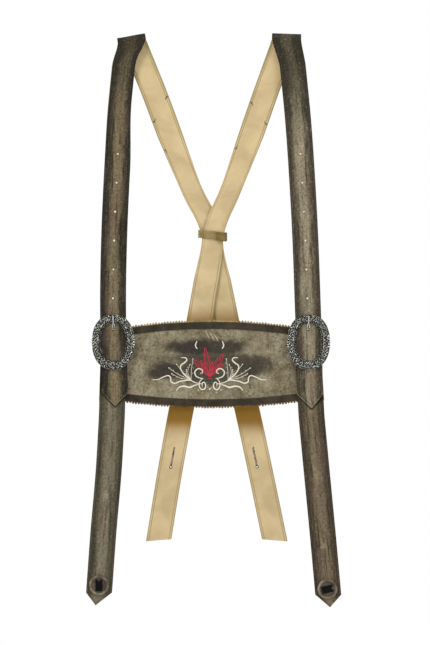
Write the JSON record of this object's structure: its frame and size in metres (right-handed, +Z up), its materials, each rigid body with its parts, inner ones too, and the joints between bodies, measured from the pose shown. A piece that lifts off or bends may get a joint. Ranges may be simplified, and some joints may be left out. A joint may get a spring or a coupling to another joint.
{
  "type": "leather suspenders",
  "caption": "Traditional leather suspenders with an embroidered crossbar, oval prong buckles, crossed back straps in a keeper loop, and disc buttons.",
  "frame": {"origin": "at the top of the hanger that both shoulder folds lie over, midway between the two folds", "axes": "+Z up, -Y the front that carries the crossbar, +X to the right as seen from the front"},
  "size_m": [0.3443, 0.0427, 0.7753],
  "materials": {
    "dark_suede": "rough",
    "tan_lining": "matt",
    "keeper_suede": "rough",
    "buckle_silver": "antiqued",
    "bar_steel": "plain",
    "panel_suede": "rough",
    "trim_leather": "smooth",
    "pinked_leather": "rough",
    "red_thread": "satin",
    "white_thread": "satin",
    "green_thread": "satin",
    "disc_leather": "rough",
    "black_leather": "smooth",
    "thong_leather": "matt"
  },
  "bodies": {
    "front": {"left_front_suede": "dark_suede", "left_front_lining": "tan_lining", "left_fold_suede": "dark_suede", "left_fold_lining": "tan_lining", "left_buckle_frame": "buckle_silver", "left_buckle_bar": "bar_steel", "left_anchor_suede": "dark_suede", "left_anchor_lining": "tan_lining", "left_anchor_filler": "tan_lining", "right_front_suede": "dark_suede", "right_front_lining": "tan_lining", "right_fold_suede": "dark_suede", "right_fold_lining": "tan_lining", "right_buckle_frame": "buckle_silver", "right_buckle_bar": "bar_steel", "right_anchor_suede": "dark_suede", "right_anchor_lining": "tan_lining", "right_anchor_filler": "tan_lining", "crossbar_panel": "panel_suede", "crossbar_upper_trim": "trim_leather", "crossbar_lower_trim": "trim_leather", "crossbar_pinked_leaf": "pinked_leather", "crossbar_backing": "tan_lining", "embroidery_red": "red_thread", "embroidery_white": "white_thread", "embroidery_green": "green_thread"},
    "back": {"left_back_suede": "dark_suede", "left_back_lining": "tan_lining", "right_back_suede": "dark_suede", "right_back_lining": "tan_lining"},
    "keeper": {"keeper_loop": "keeper_suede"},
    "left_tail": {"left_tail_suede": "dark_suede", "left_tail_lining": "tan_lining"},
    "left_lower": {"left_lower_suede": "dark_suede", "left_lower_lining": "tan_lining"},
    "left_prong": {"left_prong": "bar_steel"},
    "left_button": {"left_button_disc": "disc_leather", "left_button_bar": "black_leather", "left_button_thong": "thong_leather", "left_button_washer": "dark_suede"},
    "right_tail": {"right_tail_suede": "dark_suede", "right_tail_lining": "tan_lining"},
    "right_lower": {"right_lower_suede": "dark_suede", "right_lower_lining": "tan_lining"},
    "right_prong": {"right_prong": "bar_steel"},
    "right_button": {"right_button_disc": "disc_leather", "right_button_bar": "black_leather", "right_button_thong": "thong_leather", "right_button_washer": "dark_suede"}
  },
  "joints": [
    {"name": "shoulder_fold", "type": "hinge", "parent": "front", "child": "back", "pos_m": [0, 0, -0.007], "axis": [1, 0, 0], "range_deg": [0, 60], "deforming": ["left_fold_suede", "left_fold_lining", "right_fold_suede", "right_fold_lining"]},
    {"name": "keeper_slide", "type": "slide", "parent": "back", "child": "keeper", "axis": [0, -0.0423, 0.9991], "range_m": [-0.01, 0.001]},
    {"name": "left_tail_flex", "type": "hinge", "parent": "back", "child": "left_tail", "pos_m": [0.0246, 0.02603, -0.395], "axis": [1, 0, 0], "range_deg": [-3, 45]},
    {"name": "left_lower_flex", "type": "hinge", "parent": "front", "child": "left_lower", "pos_m": [-0.1322, -0.0032, -0.512], "axis": [1, 0, 0], "range_deg": [-60, 60]},
    {"name": "left_prong_pivot", "type": "hinge", "parent": "front", "child": "left_prong", "pos_m": [-0.1303, -0.0016, -0.397], "axis": [1, 0, 0], "range_deg": [0, 30]},
    {"name": "left_button_swivel", "type": "hinge", "parent": "left_lower", "child": "left_button", "pos_m": [-0.1496, -0.0032, -0.7418], "axis": [0, 1, 0], "range_deg": [-90, 90]},
    {"name": "right_tail_flex", "type": "hinge", "parent": "back", "child": "right_tail", "pos_m": [-0.0166, 0.02018, -0.395], "axis": [1, 0, 0], "range_deg": [-3, 45]},
    {"name": "right_lower_flex", "type": "hinge", "parent": "front", "child": "right_lower", "pos_m": [0.1368, -0.0032, -0.512], "axis": [1, 0, 0], "range_deg": [-60, 60]},
    {"name": "right_prong_pivot", "type": "hinge", "parent": "front", "child": "right_prong", "pos_m": [0.133, -0.0016, -0.397], "axis": [1, 0, 0], "range_deg": [0, 30]},
    {"name": "right_button_swivel", "type": "hinge", "parent": "right_lower", "child": "right_button", "pos_m": [0.1584, -0.0032, -0.747], "axis": [0, 1, 0], "range_deg": [-90, 90]}
  ]
}
